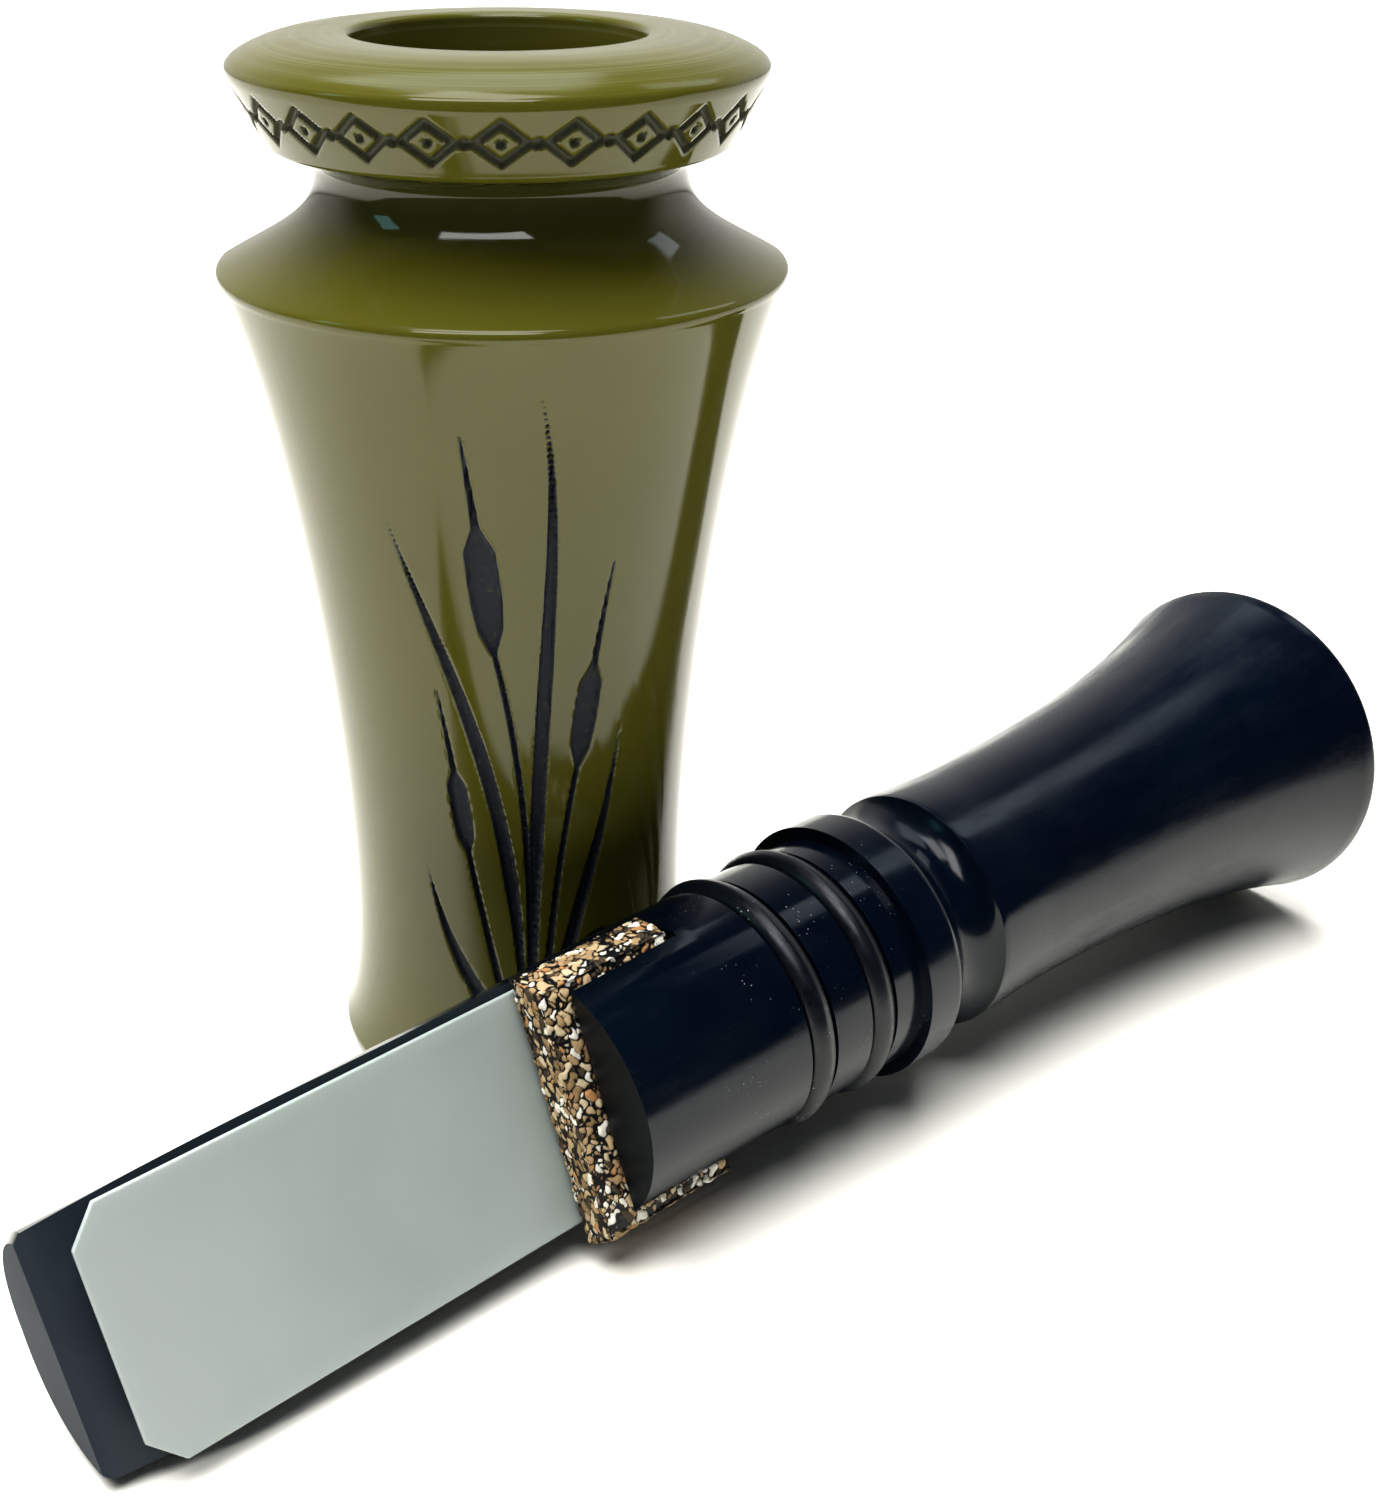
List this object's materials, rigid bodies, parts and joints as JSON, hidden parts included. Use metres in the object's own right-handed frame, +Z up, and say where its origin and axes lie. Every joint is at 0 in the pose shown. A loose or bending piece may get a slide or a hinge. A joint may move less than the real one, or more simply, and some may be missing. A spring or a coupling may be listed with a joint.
{
  "type": "duck call",
  "caption": "Single-reed duck call taken apart: a flared barrel stands on end and its turned insert, with reed, cork wedge and O-rings, lies in front.",
  "frame": {"origin": "on the ground, under the middle of the box round the barrel and the lying insert", "axes": "+Z is up along the barrel's bore, +X runs to the right, the way the insert's bell points, and +Y runs away from the viewer"},
  "size_m": [0.0898, 0.0686, 0.0638],
  "materials": {
    "olive_acrylic": "polished acrylic",
    "black_acrylic": "polished acrylic, lightly handled",
    "black_rubber": "moulded rubber, satin",
    "frosted_film": "frosted polyester film",
    "rubberised_cork": "coarse cork granules bound in black rubber"
  },
  "bodies": {
    "barrel_half": {"barrel": "olive_acrylic"},
    "insert_half": {"insert_body": "black_acrylic", "oring_front": "black_rubber", "oring_rear": "black_rubber"},
    "reed_leaf": {"reed": "frosted_film"},
    "cork_block": {"cork_wedge": "rubberised_cork"}
  },
  "joints": [
    {"name": "insert_slide", "type": "slide", "parent": "barrel_half", "child": "insert_half", "axis": [0.8066, 0.5897, 0.041], "range_m": [0, 0.056]},
    {"name": "reed_flex", "type": "hinge", "parent": "insert_half", "child": "reed_leaf", "pos_m": [-0.01256, -0.01246, 0.0094], "axis": [-0.2565, 0.2866, 0.9231], "range_deg": [-1.1, 0.4], "stiffness_Nm_per_rad": 0.03},
    {"name": "cork_slide", "type": "slide", "parent": "insert_half", "child": "cork_block", "axis": [-0.787, -0.6163, -0.0273], "range_m": [0, 0.01]}
  ]
}
